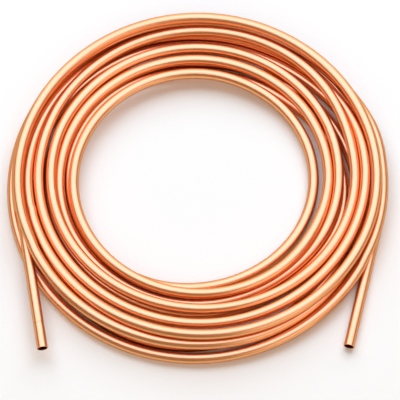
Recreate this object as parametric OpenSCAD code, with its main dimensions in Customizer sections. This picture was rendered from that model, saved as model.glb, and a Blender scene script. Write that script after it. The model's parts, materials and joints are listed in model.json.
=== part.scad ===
// Soft copper tube wound into a loose coil of two layers and one crossing turn, with two straight tails.
// Lengths are in millimetres and +Z is up. The coil lies flat on the floor at zero height.
// From the right tail the tube winds inward on the floor, climbs beside the eye and winds outward on top.
// Its last turn rises over the upper layer, crosses the back, comes down and ends in the left tail.
// Every half turn begins and ends on the plane that parts front from back, so the tube runs on smoothly.

/* [Tube] */
// Outside diameter at the two sized ends
tube_od = 10; // [6:0.5:14]
// Wall thickness
tube_wall = 0.7; // [0.5:0.05:1.2]
// Length that is brought to true size at each end
sized_length = 25; // [15:1:40]
// Bevel that the tube cutter leaves on both rims of an end
rim_bevel = 0.15; // [0.05:0.05:0.2]
// Amount by which the drawn tube stands proud of a sized end
sized_step = 0.02; // [0.02:0.01:0.06]
// Length of the taper from the drawn tube down to a sized end
sized_taper = 0.8; // [0.6:0.1:2]

/* [Winding] */
// Clear eye through the middle of the coil
eye_d = 214; // [180:2:320]
// Turns that are wound on the floor
floor_turns = 5; // [5:1:7]
// Turns that are wound flat on top of them
upper_turns = 3; // [2:1:3]
// Spacing of the floor turns in tube diameters
floor_spacing_share = 1.26; // [1.2:0.02:1.5]
// Height from layer to layer in tube diameters
layer_rise_share = 1.04; // [1.04:0.01:1.15]
// Sideways slip of the upper layer in tube diameters
upper_slip_share = 0.3; // [0:0.05:0.3]

/* [Crossing turn] */
// Height from the upper layer to the crossing turn in tube diameters
crossing_rise_share = 1.1; // [1.08:0.01:1.2]
// Place at the left where the crossing turn starts to rise, in tube diameters inside the outermost turn
rise_inset_share = 1.95; // [1.9:0.05:2.2]
// Place at the right where it is at full height, in tube diameters inside the outermost turn
crossing_right_share = 0.9; // [0.7:0.05:0.9]
// Place at the left where it starts to come down, in tube diameters inside the outermost turn
crossing_left_share = 0.4; // [0.2:0.05:0.6]

/* [Tails] */
// Straight length of the right tail on the floor
right_tail = 124; // [90:1:150]
// Straight length of the left tail on top
left_tail = 141; // [90:1:150]
// Angle the right tail runs on round the coil before it straightens
right_bend = 13.5; // [8:0.5:16]
// Angle the left tail runs on round the coil before it straightens
left_bend = 9.5; // [6:0.5:16]

/* [Hidden] */
// Number of facets a round is drawn with on screen
$fn = 96;
// Angles of a half turn round the back and of one round the front
back_half = 180;
front_half = -180;
// Radii of the sized end, the drawn tube and its bore
sized_r = tube_od / 2;
tube_r = sized_r + sized_step;
bore_r = sized_r - tube_wall;
// Amount by which a joining bend is thinner on each face of its wall, and how far it reaches into a tail
seam_step = tube_wall / 10;
seam_lap = tube_wall / 2;
// Heights of the layers and of the crossing turn
floor_z = tube_r;
upper_z = floor_z + tube_od * layer_rise_share;
crossing_z = upper_z + tube_od * crossing_rise_share;
// Radii of the floor layer beside the eye and at the outside
floor_pitch = tube_od * floor_spacing_share;
floor_in = eye_d / 2 + tube_r;
floor_out = floor_in + floor_pitch * floor_turns;
// Radii of the upper layer about its own axis: beside the eye, where its flat turns end, and at the outside
upper_slip = tube_od * upper_slip_share;
upper_in = floor_in + upper_slip;
upper_end = floor_out - tube_od * rise_inset_share + upper_slip;
upper_out = floor_out - upper_slip;
upper_pitch = (upper_end - upper_in) / upper_turns;
// Places on the parting plane, across and up, that the climbing half turns run between
climb_right = [floor_in, floor_z];
climb_left = [upper_slip - upper_in, upper_z];
rise_left = [upper_slip - upper_end, upper_z];
crossing_right = [floor_out - tube_od * crossing_right_share, crossing_z];
crossing_left = [tube_od * crossing_left_share - floor_out, crossing_z];
fall_right = [upper_slip + upper_out, upper_z];
// Reach of the coil and of its tails to the front, which sets the middle of the footprint
right_reach = floor_out * sin(right_bend) + right_tail * cos(right_bend) + sized_r * sin(right_bend);
left_reach = upper_out * sin(left_bend) + left_tail * cos(left_bend) + sized_r * sin(left_bend);
fall_reach = norm(fall_right - crossing_left) / 2 + tube_r - seam_step;
front_reach = max(floor_out - floor_pitch / 2 + tube_r, right_reach, left_reach, fall_reach);
back_reach = floor_out + tube_r;

// Cross-section of the tube; a seam bend has a slightly thinner wall
module tube_section(thinner) {
  difference() {
    circle(r = tube_r - thinner);
    circle(r = bore_r + thinner);
  }
}

// Sections of neighbouring turns, side by side along a radius
module turn_sections(first_r, pitch, count) {
  for (turn = [0 : count - 1])
    translate([first_r + pitch * turn, 0])
      tube_section(0);
}

// Half turn between a place at the left and a place at the right, which may lie at different heights
module half_turn(left, right, half, thinner) {
  middle = (left + right) / 2;
  span = right - left;
  translate([middle[0], 0, middle[1]])
    rotate([0, -atan2(span[1], span[0]), 0])
      rotate_extrude(angle = half)
        translate([norm(span) / 2, 0])
          tube_section(thinner);
}

// Floor layer: round the back at one radius, and one pitch further in at the end of every front half
module floor_layer() {
  rotate_extrude(angle = back_half)
    turn_sections(floor_in + floor_pitch, floor_pitch, floor_turns);
  translate([-floor_pitch / 2, 0, 0])
    rotate_extrude(angle = front_half)
      turn_sections(floor_in + floor_pitch / 2, floor_pitch, floor_turns);
}

// Upper layer: the flat turns, one pitch further out after every front half, and the outermost back half
module upper_layer() {
  rotate_extrude(angle = back_half) {
    turn_sections(upper_in + upper_pitch, upper_pitch, upper_turns);
    turn_sections(upper_out, 0, 1);
  }
  translate([upper_pitch / 2, 0, 0])
    rotate_extrude(angle = front_half)
      turn_sections(upper_in + upper_pitch / 2, upper_pitch, upper_turns);
}

// Half turn round the back of the eye that climbs from the floor layer to the upper layer
module climbing_turn() {
  half_turn(climb_left, climb_right, back_half, seam_step);
}

// Crossing turn: rises round the front, crosses the back at full height and comes down outside the rise
module crossing_turn() {
  half_turn(rise_left, crossing_right, front_half, seam_step);
  half_turn(crossing_left, crossing_right, back_half, 0);
  half_turn(crossing_left, fall_right, front_half, seam_step);
}

// Short bend that carries the outermost turn on past the side of the coil
module run_on(turn_r, angle) {
  rotate_extrude(angle = angle)
    translate([turn_r, 0])
      tube_section(seam_step);
}

// Straight tail along +Z with its sized end and bevelled rims, turned from one profile
module straight_tail(length) {
  rotate_extrude()
    polygon([
      [bore_r, -seam_lap],
      [tube_r, -seam_lap],
      [tube_r, length - sized_length - sized_taper],
      [sized_r, length - sized_length],
      [sized_r, length - rim_bevel],
      [sized_r - rim_bevel, length],
      [bore_r + rim_bevel, length],
      [bore_r, length - rim_bevel]
    ]);
}

// Right tail, the beginning of the tube, on the floor
module right_end() {
  run_on(floor_out, -right_bend);
  rotate([0, 0, -right_bend])
    translate([floor_out, 0, 0])
      rotate([90, 0, 0])
        straight_tail(right_tail);
}

// Left tail, the end of the tube, which passes over the outermost floor turn and under the crossing turn
module left_end() {
  rotate([0, 0, 180])
    run_on(upper_out, left_bend);
  rotate([0, 0, 180 + left_bend])
    translate([upper_out, 0, 0])
      rotate([-90, 0, 0])
        straight_tail(left_tail);
}

// The whole coil: one length of tube, centred over its footprint
module copper_tube() {
  color("#c8784e")
    translate([0, (front_reach - back_reach) / 2, 0]) {
      translate([0, 0, floor_z]) {
        floor_layer();
        right_end();
      }
      translate([upper_slip, 0, upper_z]) {
        upper_layer();
        left_end();
      }
      climbing_turn();
      crossing_turn();
    }
}

copper_tube();
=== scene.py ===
"""Looks of a loose coil of soft copper tube: its wandering turns, its drawn finish and a plain studio.

Lengths are in metres, in the frame of the solids: +Z is up and the tails point to the front, along -Y.
Angles run counter-clockwise seen from above, from the right side of the coil round its back.
"""

import json
import logging
import math
from dataclasses import dataclass
from enum import Enum

import bpy
import numpy as np
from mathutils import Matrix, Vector


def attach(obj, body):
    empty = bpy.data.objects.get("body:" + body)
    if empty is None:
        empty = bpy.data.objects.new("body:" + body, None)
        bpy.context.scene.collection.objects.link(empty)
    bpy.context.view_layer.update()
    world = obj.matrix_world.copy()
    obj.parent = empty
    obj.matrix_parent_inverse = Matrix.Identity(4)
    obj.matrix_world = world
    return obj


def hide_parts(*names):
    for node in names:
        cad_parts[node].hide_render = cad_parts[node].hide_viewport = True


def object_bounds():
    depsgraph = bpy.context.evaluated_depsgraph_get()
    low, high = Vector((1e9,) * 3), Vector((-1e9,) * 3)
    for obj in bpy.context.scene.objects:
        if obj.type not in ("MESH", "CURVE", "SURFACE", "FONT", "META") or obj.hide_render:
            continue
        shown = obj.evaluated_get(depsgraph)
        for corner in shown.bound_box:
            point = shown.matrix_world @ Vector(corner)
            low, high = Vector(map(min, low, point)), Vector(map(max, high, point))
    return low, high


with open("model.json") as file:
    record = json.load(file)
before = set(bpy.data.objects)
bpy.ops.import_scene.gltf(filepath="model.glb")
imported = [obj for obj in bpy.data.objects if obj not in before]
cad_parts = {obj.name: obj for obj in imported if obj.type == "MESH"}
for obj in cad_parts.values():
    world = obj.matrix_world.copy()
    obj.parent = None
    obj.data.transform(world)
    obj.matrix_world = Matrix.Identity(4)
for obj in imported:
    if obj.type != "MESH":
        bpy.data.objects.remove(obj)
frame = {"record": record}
cad_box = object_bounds()

LOG = logging.getLogger("copper_tube_coil")
BODY = "root"
NODE = "copper_tube"

Colour = tuple[float, float, float]
Point = tuple[float, float, float]

MM_PER_M = 1000.0
FULL_TURN = 2.0 * math.pi
# Smallest distance that is divided by
TINY = 1e-9
# Distance that keeps the empty places of a table clear of every turn
FAR_AWAY = 1000.0
# Widths of a bell curve that its weights reach to each side
BELL_REACH = 3
UPWARD = np.array([0.0, 0.0, 1.0])
# Places of a Mix node's sockets for colours and for values
COLOUR_A, COLOUR_B, COLOUR_MIXED = 6, 7, 2
VALUE_A, VALUE_B, VALUE_MIXED = 2, 3, 0

# Places per turn at which a seat is chosen
SEATS_PER_TURN = 8
# Lanes in tube diameters, counted inward from the outermost turn of the solids. A row is one turn,
# from the start of the tube at the right tail to its end at the left tail. The seats of a row are
# right, back right, back, back left, left, front left, front and front right.
SEAT_LANES = (
    (0.00, 2.00, 2.50, 1.75, 1.87, 1.20, 1.17, 2.35),
    (2.10, 3.45, 4.40, 3.25, 3.10, 4.50, 4.60, 4.45),
    (3.05, 5.10, 5.45, 4.40, 5.45, 6.25, 7.40, 7.35),
    (6.43, 5.75, 5.72, 5.64, 5.70, 6.17, 6.44, 5.75),
    (4.88, 4.45, 4.30, 4.13, 4.26, 5.30, 5.64, 5.60),
    (4.15, 3.25, 3.02, 3.07, 3.60, 4.55, 4.92, 3.85),
    (2.30, 1.40, 1.28, 1.60, 2.42, 3.18, 3.36, 2.72),
    (1.50, 1.40, 1.35, 0.80, 1.30, 2.07, 1.90, 1.34),
    (0.35, 0.32, 0.30, 0.40, 0.42, 0.78, 1.32, 1.13),
    (1.05, 0.45, 0.30, -0.10, -0.10, 0.00, 0.16, 0.12),
    (-0.10, 0.50, 0.35, 0.30, 0.36),
)
# Storeys of the same seats: 0 on the floor, 1 on the turns that lie there, 2 on top of those
SEAT_STOREYS = (
    (0.0, 0.0, 0.0, 0.0, 0.0, 0.0, 0.0, 0.0),
    (0.0, 0.0, 0.0, 0.0, 0.0, 0.0, 0.0, 0.0),
    (0.0, 0.0, 0.0, 0.0, 0.0, 0.0, 0.0, 0.0),
    (0.0, 0.3, 1.0, 1.0, 1.0, 1.0, 0.8, 0.95),
    (0.45, 0.95, 1.0, 0.95, 0.25, 0.0, 0.0, 0.0),
    (1.1, 1.0, 1.0, 1.0, 1.0, 0.95, 1.0, 1.0),
    (1.6, 1.6, 1.2, 1.0, 1.0, 1.0, 1.0, 1.0),
    (2.1, 0.6, 0.0, 0.15, 1.35, 1.05, 2.0, 1.4),
    (2.0, 2.1, 2.1, 2.0, 2.0, 1.25, 1.0, 0.05),
    (1.25, 0.1, 0.0, 0.0, 0.0, 0.0, 0.0, 0.35),
    (1.1, 1.15, 1.05, 1.0, 1.0),
)


class TubeEnd(Enum):
    """The two cut ends of the tube, by the name of their mount in the record."""

    RIGHT = "right_tube_end"
    LEFT = "left_tube_end"


class Channel(Enum):
    """Values that the tube's mesh carries for its finish, by attribute name."""

    DRAWN = "drawn"
    INSIDE = "inside"
    MARK = "mark"


@dataclass(frozen=True)
class StraightTail:
    """One straight tail of the tube, taken from its mount: a line that ends at the cut.

    Attributes:
        end: Middle of the cut face.
        axis: Direction in which the tail points, away from the coil.
    """

    end: np.ndarray
    axis: np.ndarray

    @classmethod
    def from_mount(cls, which: TubeEnd, rim_bevel: float) -> "StraightTail":
        """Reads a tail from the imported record.

        Args:
            which: The end whose mount is read.
            rim_bevel: Bevel between the mount's wall and the cut face.

        Returns:
            The tail, with its end half a mount's length and a bevel beyond the mount's middle.
        """
        mount = next(m for m in frame["record"]["mounts"] if m["name"] == which.value)
        axis = np.array(mount["axis"], float)
        reach = mount["dims"]["length_mm"] / MM_PER_M / 2.0 + rim_bevel
        return cls(np.array(mount["pos_m"], float) + axis * reach, axis)

    def foot(self, centre: np.ndarray) -> tuple[float, float]:
        """Foot of the perpendicular from the coil's centre to the tail's line, in plan.

        Args:
            centre: Centre of the coil in plan.

        Returns:
            The line's distance from the centre and the foot's angle in radians.
        """
        offset = self.end[:2] - centre
        across = offset - self.axis[:2] * (offset @ self.axis[:2])
        return float(np.linalg.norm(across)), float(np.arctan2(across[1], across[0]))

    def end_angle(self, centre: np.ndarray) -> float:
        """Angle of the cut face seen from the coil's centre, in radians."""
        offset = self.end[:2] - centre
        return float(np.arctan2(offset[1], offset[0]))


@dataclass
class LooseWinding:
    """Path of the tube through the coil: chosen seats, which then settle on the floor and on one another.

    Attributes:
        tube_radius: Outside radius of the drawn tube.
        tube_d: Nominal tube diameter, the unit of lanes and storeys.
        outermost: Radius of the outermost turn of the solids.
        centre: Centre of the coil in plan.
        right: Tail at the start of the tube.
        left: Tail at its end.
        columns: Places round one turn at which the path is worked out.
        gap: Air that is left between turns that touch.
        rounds: Rounds of settling.
        pushes: Times in a round that turns which touch are pushed apart.
        fall: Fall of a free turn in the first round.
        seat_pull: Share of the way back to its seat that a turn takes in a round.
        stiffness: Share of a bend that the tube straightens in a round.
        stiff_span: Half width of the stretch over which it straightens, in columns.
    """

    tube_radius: float
    tube_d: float
    outermost: float
    centre: np.ndarray
    right: StraightTail
    left: StraightTail
    columns: int = 288
    gap: float = 0.00006
    rounds: int = 700
    pushes: int = 2
    fall: float = 0.00002
    seat_pull: float = 0.03
    stiffness: float = 0.3
    stiff_span: int = 6

    def seat_curve(self, values: np.ndarray, at: np.ndarray) -> np.ndarray:
        """Natural cubic spline through equally spaced seats.

        Between two seats the value is a cubic whose slope and bend agree with its neighbours; the bends
        are the solution of the usual tridiagonal system, with none at the two ends.

        Args:
            values: Value at each seat.
            at: Positions counted in seats, from 0 at the first one.

        Returns:
            The value at each position.
        """
        count = len(values)
        system = np.eye(count) * 4.0 + np.eye(count, k=1) + np.eye(count, k=-1)
        system[0], system[-1] = np.eye(count)[0], np.eye(count)[-1]
        bends = np.zeros(count)
        bends[1:-1] = 6.0 * np.diff(values, 2)
        bends = np.linalg.solve(system, bends)
        seat = np.clip(at.astype(int), 0, count - 2)
        after = at - seat
        before = 1.0 - after
        return (
            before * values[seat]
            + after * values[seat + 1]
            + (before**3 - before) * bends[seat] / 6.0
            + (after**3 - after) * bends[seat + 1] / 6.0
        )

    def smoothed(self, values: np.ndarray) -> np.ndarray:
        """Weighted mean along the path.

        The weights are a bell curve of stiff_span columns. Past an end the path goes on as its own
        image, turned half round about that end.

        Args:
            values: Values along the path.

        Returns:
            The mean at each place of the path.
        """
        reach = BELL_REACH * self.stiff_span
        steps = np.arange(-reach, reach + 1) / self.stiff_span
        weights = np.exp(-0.5 * steps**2)
        before = 2.0 * values[0] - values[reach:0:-1]
        beyond = 2.0 * values[-1] - values[-2 : -reach - 2 : -1]
        return np.convolve(np.concatenate([before, values, beyond]), weights / weights.sum(), "valid")

    def chosen_path(self) -> tuple[np.ndarray, np.ndarray, np.ndarray, np.ndarray]:
        """The path as its seats have it, with the tails on their straight lines.

        A tail's radius at an angle is its line's distance from the centre over the cosine of the angle
        from the foot of that distance.

        Returns:
            Angles in radians, radii, heights of the tube's middle, and which places are held in a tail.
        """
        lanes = np.concatenate([np.array(row) for row in SEAT_LANES])
        storeys = np.concatenate([np.array(row) for row in SEAT_STOREYS])
        step = FULL_TURN / self.columns
        seat_step = FULL_TURN / SEATS_PER_TURN
        last_seat = (len(lanes) - 1) * seat_step
        right_distance, right_foot = self.right.foot(self.centre)
        left_distance, left_foot = self.left.foot(self.centre)
        left_foot = last_seat + left_foot % FULL_TURN - math.pi
        start = self.right.end_angle(self.centre)
        stop = last_seat + self.left.end_angle(self.centre) % FULL_TURN - math.pi
        angles = np.arange(math.ceil(start / step), math.floor(stop / step) + 1) * step
        places = angles / seat_step
        inside = np.clip(places, 0.0, len(lanes) - 1.0)
        radii = self.outermost - self.tube_d * self.seat_curve(lanes, inside)
        heights = self.tube_radius + self.tube_d * np.interp(places, np.arange(len(storeys)), storeys)
        in_right, in_left = angles < right_foot, angles > left_foot
        radii[in_right] = right_distance / np.cos(angles[in_right] - right_foot)
        radii[in_left] = left_distance / np.cos(angles[in_left] - left_foot)
        heights[in_right] = self.right.end[2]
        heights[angles > last_seat] = self.left.end[2]
        return angles, radii, heights, in_right | in_left

    def settle(self) -> tuple[np.ndarray, np.ndarray, np.ndarray]:
        """Lets the turns fall, straighten and push one another apart until they lie on each other.

        The path is laid out as a table with a row for each turn and a column for each place round the
        coil, so that the turns beside a place are the other rows of its column. In each round every
        free place falls a little, is drawn to its seat and to the mean of its neighbours along the
        tube; two turns nearer than a tube diameter then move apart along the line between them, each
        half of what is missing, and nothing sinks into the floor.

        Returns:
            Angles in radians, radii and heights of the settled path.
        """
        angles, radii, heights, held = self.chosen_path()
        seats, seat_heights = radii.copy(), heights.copy()
        first = int(round(angles[0] * self.columns / FULL_TURN))
        lead = first % self.columns
        rows = -(-(lead + len(angles)) // self.columns)
        fill = (lead, rows * self.columns - lead - len(angles))

        def table(values: np.ndarray, empty: float) -> np.ndarray:
            """The path's values as rows of turns, filled up before and after it with the empty value."""
            return np.pad(values, fill, constant_values=empty).reshape(rows, self.columns)

        loose = (~held).astype(float)
        free = table(loose, 0.0)
        empty = table(np.ones(len(angles)), 0.0) == 0.0
        away = FAR_AWAY * np.repeat(np.arange(1.0, rows + 1.0)[:, None], self.columns, axis=1)
        reach = 2.0 * self.tube_radius + self.gap
        stretch = slice(lead, lead + len(angles))
        for round_no in range(self.rounds):
            heights -= loose * self.fall * (1.0 - round_no / self.rounds)
            radii += loose * self.seat_pull * (seats - radii)
            heights += loose * self.seat_pull * (seat_heights - heights)
            radii += loose * self.stiffness * (self.smoothed(radii) - radii)
            heights += loose * self.stiffness * (self.smoothed(heights) - heights)
            for _ in range(self.pushes):
                out, up = table(radii, 0.0), table(heights, 0.0)
                out[empty] = away[empty]
                for lag in range(1, rows):
                    d_out, d_up = out[lag:] - out[:-lag], up[lag:] - up[:-lag]
                    apart = np.maximum(np.hypot(d_out, d_up), TINY)
                    missing = np.maximum(reach - apart, 0.0) / apart
                    both = np.maximum(free[lag:] + free[:-lag], TINY)
                    share_a, share_b = missing * free[lag:] / both, missing * free[:-lag] / both
                    out[lag:] += share_a * d_out
                    up[lag:] += share_a * d_up
                    out[:-lag] -= share_b * d_out
                    up[:-lag] -= share_b * d_up
                radii, heights = out.ravel()[stretch].copy(), up.ravel()[stretch].copy()
                heights = np.maximum(heights, self.tube_radius)
        return angles, radii, heights

    def centre_line(self) -> np.ndarray:
        """Points along the middle of the tube, from the right cut to the left one.

        A place at an angle and a radius lies at the centre plus the radius times the cosine and the
        sine of the angle, at its own height.

        Returns:
            Points, one row of x, y and z each.
        """
        angles, radii, heights = self.settle()
        plan = self.centre + radii[:, None] * np.stack([np.cos(angles), np.sin(angles)], axis=1)
        path = np.concatenate([plan, heights[:, None]], axis=1)
        return np.concatenate([self.right.end[None], path, self.left.end[None]])


@dataclass(frozen=True)
class DrawnCopper:
    """Bright drawn copper: metal with lengthwise draw lines, faint tarnish, an unpolished bore and a size
    mark, with painted shade in the bore, in the mark's groove and along the tube's outline.

    Attributes:
        bright: Colour of the clean metal.
        tarnished: Colour where it has darkened a little.
        dull_and_shaded_bore: Colour of the bore, which was never polished, painted near black as the
            shade deep inside it.
        shaded_groove: Colour of the ring that the sizing tool leaves, painted darker as the shade in its
            groove.
        edge: Tint of the metal where it is seen at a glancing angle, a dark brown that paints shade along
            the tube's outline.
        smooth: Roughness between draw lines.
        scored: Roughness in them.
        dull_roughness: Roughness of the bore.
        lines_around: Draw lines across one tube radius.
        lines_along: Changes of a draw line in a metre.
        tarnish_size: Patches of tarnish in a metre.
        noise_detail: Finer layers in a noise.
        noise_span: Middle of a noise that is spread over a range.
        relief_strength: Strength of the draw lines' bump.
        relief_depth: Depth of the draw lines.
    """

    bright: Colour = (0.94, 0.47, 0.205)
    tarnished: Colour = (0.91, 0.415, 0.172)
    # Unpolished bore, painted near black as the shade deep inside the tube
    dull_and_shaded_bore: Colour = (0.12, 0.05, 0.03)
    # Painted shade in the groove of the size mark's ring
    shaded_groove: Colour = (0.80, 0.36, 0.15)
    # Dark brown at glancing angles: painted shade along the tube's outline
    edge: Colour = (0.45, 0.26, 0.16)
    smooth: float = 0.28
    scored: float = 0.38
    dull_roughness: float = 0.55
    lines_around: float = 7.0
    lines_along: float = 5.0
    tarnish_size: float = 16.0
    noise_detail: float = 3.0
    noise_span: tuple[float, float] = (0.35, 0.65)
    relief_strength: float = 0.06
    relief_depth: float = 0.0001

    def material(self) -> bpy.types.Material:
        """Makes the material.

        Draw lines are noise in the tube's own coordinates, drawn out along it; they set roughness and
        a fine bump. Tarnish is soft noise in space. The bore, painted near black as its shade, and the
        size mark's ring, painted darker as the shade in its groove, come from the mesh. At a glancing
        angle the metal takes on its edge tint, a dark brown that paints shade along the tube's outline.

        Returns:
            The finished material.
        """
        mat = bpy.data.materials.new("drawn_copper")
        mat.use_nodes = True
        tree = mat.node_tree
        shader = tree.nodes["Principled BSDF"]
        shader.inputs["Metallic"].default_value = 1.0
        # Painted shade along the tube's outline, through a dark brown tint at glancing angles
        shader.inputs["Specular Tint"].default_value = (*self.edge, 1.0)
        lines = self._noise(tree, self._read(tree, Channel.DRAWN, "Vector"), self._stretch(), 1.0)
        space = tree.nodes.new("ShaderNodeTexCoord").outputs["Object"]
        tarnish = self._noise(tree, space, (1.0, 1.0, 1.0), self.tarnish_size)
        inside = self._read(tree, Channel.INSIDE, "Fac")
        mark = self._read(tree, Channel.MARK, "Fac")
        metal = self._mix(tree, tarnish, self.bright, self.tarnished)
        # Painted shade darkens the metal in the groove of the size mark
        shaded_groove = self._mix(tree, mark, metal, self.shaded_groove)
        # The bore takes its near black colour: painted shade deep inside the tube
        tree.links.new(self._mix(tree, inside, shaded_groove, self.dull_and_shaded_bore), shader.inputs["Base Color"])
        rough = self._range(tree, lines, self.smooth, self.scored)
        tree.links.new(self._fade(tree, inside, rough, self.dull_roughness), shader.inputs["Roughness"])
        bump = tree.nodes.new("ShaderNodeBump")
        bump.inputs["Strength"].default_value = self.relief_strength
        bump.inputs["Distance"].default_value = self.relief_depth
        tree.links.new(lines, bump.inputs["Height"])
        tree.links.new(bump.outputs["Normal"], shader.inputs["Normal"])
        return mat

    def _stretch(self) -> tuple[float, float, float]:
        """Scale of the draw lines across the tube and along it."""
        return (self.lines_around, self.lines_around, self.lines_along)

    @staticmethod
    def _read(tree: bpy.types.NodeTree, channel: Channel, output: str) -> bpy.types.NodeSocket:
        """Reads a value that the mesh carries.

        Args:
            tree: Node tree to add to.
            channel: The value.
            output: Name of the output that gives it.

        Returns:
            The value.
        """
        node = tree.nodes.new("ShaderNodeAttribute")
        node.attribute_name = channel.value
        return node.outputs[output]

    def _noise(
        self,
        tree: bpy.types.NodeTree,
        where: bpy.types.NodeSocket,
        stretch: tuple[float, float, float],
        scale: float,
    ) -> bpy.types.NodeSocket:
        """Soft noise.

        Args:
            tree: Node tree to add to.
            where: Coordinates.
            stretch: Scale of each coordinate.
            scale: Scale of the noise.

        Returns:
            The noise, from 0 to 1.
        """
        mapping = tree.nodes.new("ShaderNodeMapping")
        mapping.inputs["Scale"].default_value = stretch
        noise = tree.nodes.new("ShaderNodeTexNoise")
        noise.inputs["Scale"].default_value = scale
        noise.inputs["Detail"].default_value = self.noise_detail
        tree.links.new(where, mapping.inputs["Vector"])
        tree.links.new(mapping.outputs["Vector"], noise.inputs["Vector"])
        return noise.outputs["Fac"]

    @staticmethod
    def _put(
        tree: bpy.types.NodeTree,
        value: "bpy.types.NodeSocket | Colour",
        socket: bpy.types.NodeSocket,
    ) -> None:
        """Links a value to a socket, or sets a colour on it.

        Args:
            tree: Node tree that both are in.
            value: A socket to link, or a colour.
            socket: Socket that takes it.
        """
        if isinstance(value, tuple):
            socket.default_value = (*value, 1.0)
        else:
            tree.links.new(value, socket)

    def _mix(
        self,
        tree: bpy.types.NodeTree,
        share: bpy.types.NodeSocket,
        base: "bpy.types.NodeSocket | Colour",
        other: "bpy.types.NodeSocket | Colour",
    ) -> bpy.types.NodeSocket:
        """Mixes two colours.

        Args:
            tree: Node tree to add to.
            share: Share of the second colour.
            base: First colour.
            other: Second colour.

        Returns:
            The mixed colour.
        """
        node = tree.nodes.new("ShaderNodeMix")
        node.data_type = "RGBA"
        tree.links.new(share, node.inputs["Factor"])
        self._put(tree, base, node.inputs[COLOUR_A])
        self._put(tree, other, node.inputs[COLOUR_B])
        return node.outputs[COLOUR_MIXED]

    def _range(
        self, tree: bpy.types.NodeTree, value: bpy.types.NodeSocket, low: float, high: float
    ) -> bpy.types.NodeSocket:
        """Spreads the middle of a noise over a range of values.

        Args:
            tree: Node tree to add to.
            value: The noise.
            low: Lowest value.
            high: Highest value.

        Returns:
            The value.
        """
        node = tree.nodes.new("ShaderNodeMapRange")
        node.inputs["From Min"].default_value = self.noise_span[0]
        node.inputs["From Max"].default_value = self.noise_span[1]
        node.inputs["To Min"].default_value = low
        node.inputs["To Max"].default_value = high
        tree.links.new(value, node.inputs["Value"])
        return node.outputs["Result"]

    @staticmethod
    def _fade(
        tree: bpy.types.NodeTree,
        share: bpy.types.NodeSocket,
        base: bpy.types.NodeSocket,
        other: float,
    ) -> bpy.types.NodeSocket:
        """Fades from a varying value to a constant one.

        Args:
            tree: Node tree to add to.
            share: Share of the constant value.
            base: The varying value.
            other: The constant value.

        Returns:
            The faded value.
        """
        node = tree.nodes.new("ShaderNodeMix")
        tree.links.new(share, node.inputs["Factor"])
        tree.links.new(base, node.inputs[VALUE_A])
        node.inputs[VALUE_B].default_value = other
        return node.outputs[VALUE_MIXED]


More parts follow.
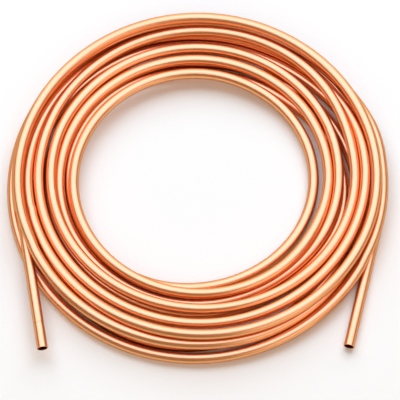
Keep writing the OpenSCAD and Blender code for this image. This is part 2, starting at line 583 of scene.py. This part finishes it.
@dataclass
class CopperTube:
    """The tube itself: a round section carried along the winding, open at both cut ends.

    Attributes:
        winding: Path of the tube.
        finish: Its finish.
        sized_radius: Outside radius at the sized ends.
        wall: Wall thickness.
        rim_bevel: Bevel on both rims of a cut.
        sized_length: Length that is brought to size at each end.
        sized_taper: Length over which the drawn tube comes down to size.
        bore_depth: How deep the bore is modelled at each end.
        mark_depth: Depth of the ring that the sizing tool leaves behind a sized end.
        sides: Facets round the section.
    """

    winding: LooseWinding
    finish: DrawnCopper
    sized_radius: float
    wall: float = 0.0007
    rim_bevel: float = 0.00015
    sized_length: float = 0.025
    sized_taper: float = 0.0008
    bore_depth: float = 0.06
    mark_depth: float = 0.00008
    sides: int = 28

    def _end_rings(self) -> tuple[np.ndarray, np.ndarray]:
        """Rings of one end, from the bottom of its bore over the rim to the drawn tube.

        The bore has rings at its full depth, at half of it and at a sixth. A ring close behind each
        edge keeps that edge crisp under smooth shading.

        Returns:
            Distance of each ring from the cut, and its radius.
        """
        drawn, sized = self.winding.tube_radius, self.sized_radius
        bore = sized - self.wall
        mark = self.sized_length + self.sized_taper / 2.0
        rings = (
            (self.bore_depth, bore),
            (self.bore_depth / 2.0, bore),
            (self.bore_depth / 6.0, bore),
            (self.rim_bevel * 2.0, bore),
            (self.rim_bevel, bore),
            (0.0, bore + self.rim_bevel),
            (0.0, sized - self.rim_bevel),
            (self.rim_bevel, sized),
            (self.rim_bevel * 2.0, sized),
            (self.sized_length / 2.0, sized),
            (self.sized_length - self.sized_taper, sized),
            (self.sized_length, sized),
            (mark, sized - self.mark_depth),
            (self.sized_length + self.sized_taper, drawn),
            (self.sized_length + self.sized_taper * 2.0, drawn),
        )
        return np.array([r[0] for r in rings]), np.array([r[1] for r in rings])

    def _rings(self) -> dict[str, np.ndarray]:
        """All rings of the tube in order, from the bottom of one bore to the bottom of the other.

        Returns:
            Arrays by name: middle, side and up of each ring, its radius, its place along the tube,
            whether it is in a bore, and whether it is in the size mark, which shows on the left tail.
        """
        path = self.winding.centre_line()
        length = np.concatenate([[0.0], np.cumsum(np.linalg.norm(np.diff(path, axis=0), axis=1))])
        along, radius = self._end_rings()
        total = length[-1]
        clear = along[-1] + self.sized_taper
        middle = length[(length > clear) & (length < total - clear)]
        place = np.concatenate([along, middle, total - along[::-1]])
        wide = np.concatenate([radius, np.full(len(middle), self.winding.tube_radius), radius[::-1]])
        tangent = np.gradient(path, length, axis=0)
        ahead = np.stack([np.interp(place, length, tangent[:, i]) for i in range(3)], axis=1)
        ahead /= np.linalg.norm(ahead, axis=1, keepdims=True)
        side = np.cross(ahead, UPWARD)
        side /= np.linalg.norm(side, axis=1, keepdims=True)
        bore = np.concatenate([self._in_bore(radius), np.zeros(len(middle)), self._in_bore(radius)[::-1]])
        from_left = total - place
        mark = np.abs(from_left - self.sized_length - self.sized_taper / 2.0) < self.sized_taper
        return {
            "middle": np.stack([np.interp(place, length, path[:, i]) for i in range(3)], axis=1),
            "side": side,
            "up": np.cross(side, ahead),
            "radius": wide,
            "place": place,
            "inside": bore,
            "mark": mark & (bore == 0.0),
        }

    def _in_bore(self, radius: np.ndarray) -> np.ndarray:
        """1 for the rings of an end that lie in its bore, 0 for the others."""
        return (radius <= self.sized_radius - self.wall + self.rim_bevel / 2.0).astype(float)

    def build(self) -> bpy.types.Object:
        """Builds the mesh.

        A point is the middle of its ring plus the ring's radius times the cosine of its turn along the
        side direction and the sine along the up direction. The last rings, deep in the bores, are
        closed with a face.

        Returns:
            The tube as an object at the origin.
        """
        rings = self._rings()
        turn = np.arange(self.sides) * FULL_TURN / self.sides
        cos, sin = np.cos(turn)[None, :, None], np.sin(turn)[None, :, None]
        spoke = cos * rings["side"][:, None, :] + sin * rings["up"][:, None, :]
        points = rings["middle"][:, None, :] + rings["radius"][:, None, None] * spoke
        count = len(rings["radius"])
        corner = np.arange(count * self.sides).reshape(count, self.sides)
        beside = np.roll(corner, -1, axis=1)
        quads = np.stack([corner[:-1], corner[1:], beside[1:], beside[:-1]], axis=-1).reshape(-1, 4)
        caps = [corner[0].tolist(), corner[-1][::-1].tolist()]
        mesh = bpy.data.meshes.new(NODE)
        mesh.from_pydata(points.reshape(-1, 3), [], quads.tolist() + caps)
        mesh.shade_smooth()
        self._carry(mesh, rings, turn)
        tube = bpy.data.objects.new("wound_copper_tube", mesh)
        bpy.context.scene.collection.objects.link(tube)
        return tube

    def _carry(self, mesh: bpy.types.Mesh, rings: dict[str, np.ndarray], turn: np.ndarray) -> None:
        """Puts the values that the finish reads on the mesh.

        Args:
            mesh: The tube's mesh.
            rings: Its rings.
            turn: Turn of each point round its ring.
        """
        around = (np.cos(turn), np.sin(turn))
        drawn = np.stack(np.broadcast_arrays(*around, rings["place"][:, None]), axis=-1)
        layer = mesh.attributes.new(Channel.DRAWN.value, "FLOAT_VECTOR", "POINT")
        layer.data.foreach_set("vector", drawn.ravel().astype(np.float32))
        for channel in (Channel.INSIDE, Channel.MARK):
            values = np.repeat(rings[channel.value], len(turn))
            layer = mesh.attributes.new(channel.value, "FLOAT", "POINT")
            layer.data.foreach_set("value", values.astype(np.float32))

    def dress(self, tube: bpy.types.Object) -> None:
        """Gives the tube its finish and ties it to the solids.

        Args:
            tube: The tube as it was built.
        """
        tube.data.materials.append(self.finish.material())
        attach(tube, BODY)
        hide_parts(NODE)


class LampUse(Enum):
    """What a lamp is there for: to be mirrored in the metal, or to light the floor."""

    MIRRORED = "mirrored"
    FLOOR = "floor"


@dataclass(frozen=True)
class SoftLamp:
    """A large soft rectangular lamp.

    Attributes:
        name: Its name.
        place: Middle of the lamp.
        target: Point that it faces.
        width: Width of the lamp.
        height: Height of the lamp.
        level: Brightness of its face.
        use: What it is there for.
        tint: Colour of its light.
    """

    name: str
    place: Point
    target: Point
    width: float
    height: float
    level: float
    use: LampUse
    tint: Colour = (1.0, 1.0, 1.0)

    def build(self) -> bpy.types.Object:
        """Adds the lamp to the scene. Its power is its level times its area times pi.

        Returns:
            The lamp.
        """
        data = bpy.data.lights.new(self.name, "AREA")
        data.shape = "RECTANGLE"
        data.size, data.size_y = self.width, self.height
        data.energy = self.level * self.width * self.height * math.pi
        data.color = self.tint
        lamp = bpy.data.objects.new(self.name, data)
        lamp.visible_diffuse = self.use is LampUse.FLOOR
        lamp.visible_glossy = self.use is LampUse.MIRRORED
        lamp.location = self.place
        aim = Vector(self.target) - Vector(self.place)
        lamp.rotation_euler = aim.to_track_quat("-Z", "Y").to_euler()
        bpy.context.scene.collection.objects.link(lamp)
        return lamp


@dataclass
class Studio:
    """Pale floor, soft light and the camera.

    Attributes:
        floor_size: Width of the floor.
        floor_colour: Its colour.
        floor_roughness: Its roughness.
        floor_gloss: Its share of a plain gloss.
        surround: Strength of the light from the room around.
        room_colour: Colour of that light.
        elevation: Height of the camera's view above the horizon, in degrees.
        distance: Distance of the camera from what it looks at.
        target: Point in the middle of the picture.
        lens: Focal length in millimetres.
        sensor: Width of the sensor in millimetres.
        sight: Distance to which the camera sees.
    """

    floor_size: float = 12.0
    floor_colour: Colour = (0.93, 0.92, 0.915)
    floor_roughness: float = 0.7
    floor_gloss: float = 0.2
    surround: float = 0.35
    room_colour: Colour = (0.94, 0.70, 0.45)
    elevation: float = 66.0
    distance: float = 2.9
    target: Point = (0.0026, -0.0123, 0.0030)
    lens: float = 274.3
    sensor: float = 36.0
    sight: float = 100.0

    def build_floor(self) -> bpy.types.Object:
        """Makes the floor that the coil lies on, as a stage piece.

        Returns:
            The floor.
        """
        half = self.floor_size / 2.0
        mesh = bpy.data.meshes.new("studio_floor")
        corners = [(-half, -half, 0.0), (half, -half, 0.0), (half, half, 0.0), (-half, half, 0.0)]
        mesh.from_pydata(corners, [], [(0, 1, 2, 3)])
        floor = bpy.data.objects.new("studio_floor", mesh)
        bpy.context.scene.collection.objects.link(floor)
        mat = bpy.data.materials.new("pale_floor")
        mat.use_nodes = True
        shader = mat.node_tree.nodes["Principled BSDF"]
        shader.inputs["Base Color"].default_value = (*self.floor_colour, 1.0)
        shader.inputs["Roughness"].default_value = self.floor_roughness
        shader.inputs["Specular IOR Level"].default_value = self.floor_gloss
        mesh.materials.append(mat)
        return floor

    @staticmethod
    def lamps() -> tuple[SoftLamp, ...]:
        """Lists the lamps: first those that the metal mirrors, then those that light the floor.

        Returns:
            The lamps.
        """
        return (
            SoftLamp(
                name="overhead_softbox",
                place=(0.0, 0.82, 1.3),
                target=(0.0, 0.82, 0.0),
                width=3.2,
                height=2.4,
                level=1.8,
                use=LampUse.MIRRORED,
                tint=(1.0, 1.02, 1.74),
            ),
            SoftLamp(
                name="back_paper",
                place=(0.0, 3.2, 0.9),
                target=(0.0, 0.0, 0.0),
                width=6.0,
                height=1.8,
                level=0.9,
                use=LampUse.MIRRORED,
            ),
            SoftLamp(
                name="front_card",
                place=(1.0, -1.1, 0.75),
                target=(0.0, 0.0, 0.0),
                width=1.15,
                height=1.0,
                level=1.0,
                use=LampUse.MIRRORED,
            ),
            SoftLamp(
                name="back_wash",
                place=(0.0, 2.9, 3.2),
                target=(0.0, 0.0, 0.0),
                width=6.0,
                height=4.6,
                level=2.2,
                use=LampUse.FLOOR,
                tint=(1.0, 1.26, 1.46),
            ),
            SoftLamp(
                name="front_fill",
                place=(0.0, -2.6, 3.2),
                target=(0.0, 0.0, 0.0),
                width=5.0,
                height=3.0,
                level=1.2,
                use=LampUse.FLOOR,
                tint=(1.0, 0.80, 0.70),
            ),
        )

    def build_light(self) -> None:
        """Adds the lamps and the room's own light."""
        for lamp in self.lamps():
            lamp.build()
        world = bpy.data.worlds.new("studio_room")
        world.use_nodes = True
        background = world.node_tree.nodes["Background"]
        background.inputs["Color"].default_value = (*self.room_colour, 1.0)
        background.inputs["Strength"].default_value = self.surround
        bpy.context.scene.world = world

    def build_camera(self) -> bpy.types.Object:
        """Sets up the camera in front of the coil, looking down on it.

        Returns:
            The camera.
        """
        data = bpy.data.cameras.new("photo_camera")
        data.lens = self.lens
        data.sensor_width = self.sensor
        data.clip_end = self.sight
        camera = bpy.data.objects.new("photo_camera", data)
        tilt = math.radians(self.elevation)
        back = Vector((0.0, -math.cos(tilt), math.sin(tilt)))
        camera.location = Vector(self.target) + back * self.distance
        camera.rotation_euler = (-back).to_track_quat("-Z", "Y").to_euler()
        bpy.context.scene.collection.objects.link(camera)
        bpy.context.scene.camera = camera
        bpy.context.scene.view_settings.view_transform = "Standard"
        return camera


def coil_from_frame() -> CopperTube:
    """Works out the tube's sizes from the solids and the record.

    Returns:
        The tube, ready to build.
    """
    low, high = cad_box
    sized_radius = frame["record"]["mounts"][0]["dims"]["r_mm"] / MM_PER_M
    right = StraightTail.from_mount(TubeEnd.RIGHT, CopperTube.rim_bevel)
    left = StraightTail.from_mount(TubeEnd.LEFT, CopperTube.rim_bevel)
    tube_radius = float(right.end[2])
    coil_radius = (high.x - low.x) / 2.0
    winding = LooseWinding(
        tube_radius=tube_radius,
        tube_d=2.0 * sized_radius,
        outermost=coil_radius - tube_radius,
        centre=np.array([(high.x + low.x) / 2.0, high.y - coil_radius]),
        right=right,
        left=left,
    )
    return CopperTube(winding=winding, finish=DrawnCopper(), sized_radius=sized_radius)


def main() -> None:
    """Builds the coil and its studio in order, and reports each piece."""
    logging.basicConfig(level=logging.INFO, format="%(name)s: %(message)s")
    coil = coil_from_frame()
    tube = coil.build()
    coil.dress(tube)
    LOG.info("%s: %d points, %d faces", tube.name, len(tube.data.vertices), len(tube.data.polygons))
    studio = Studio()
    LOG.info("%s made", studio.build_floor().name)
    studio.build_light()
    LOG.info("%s made", studio.build_camera().name)


if __name__ == "__main__":
    main()
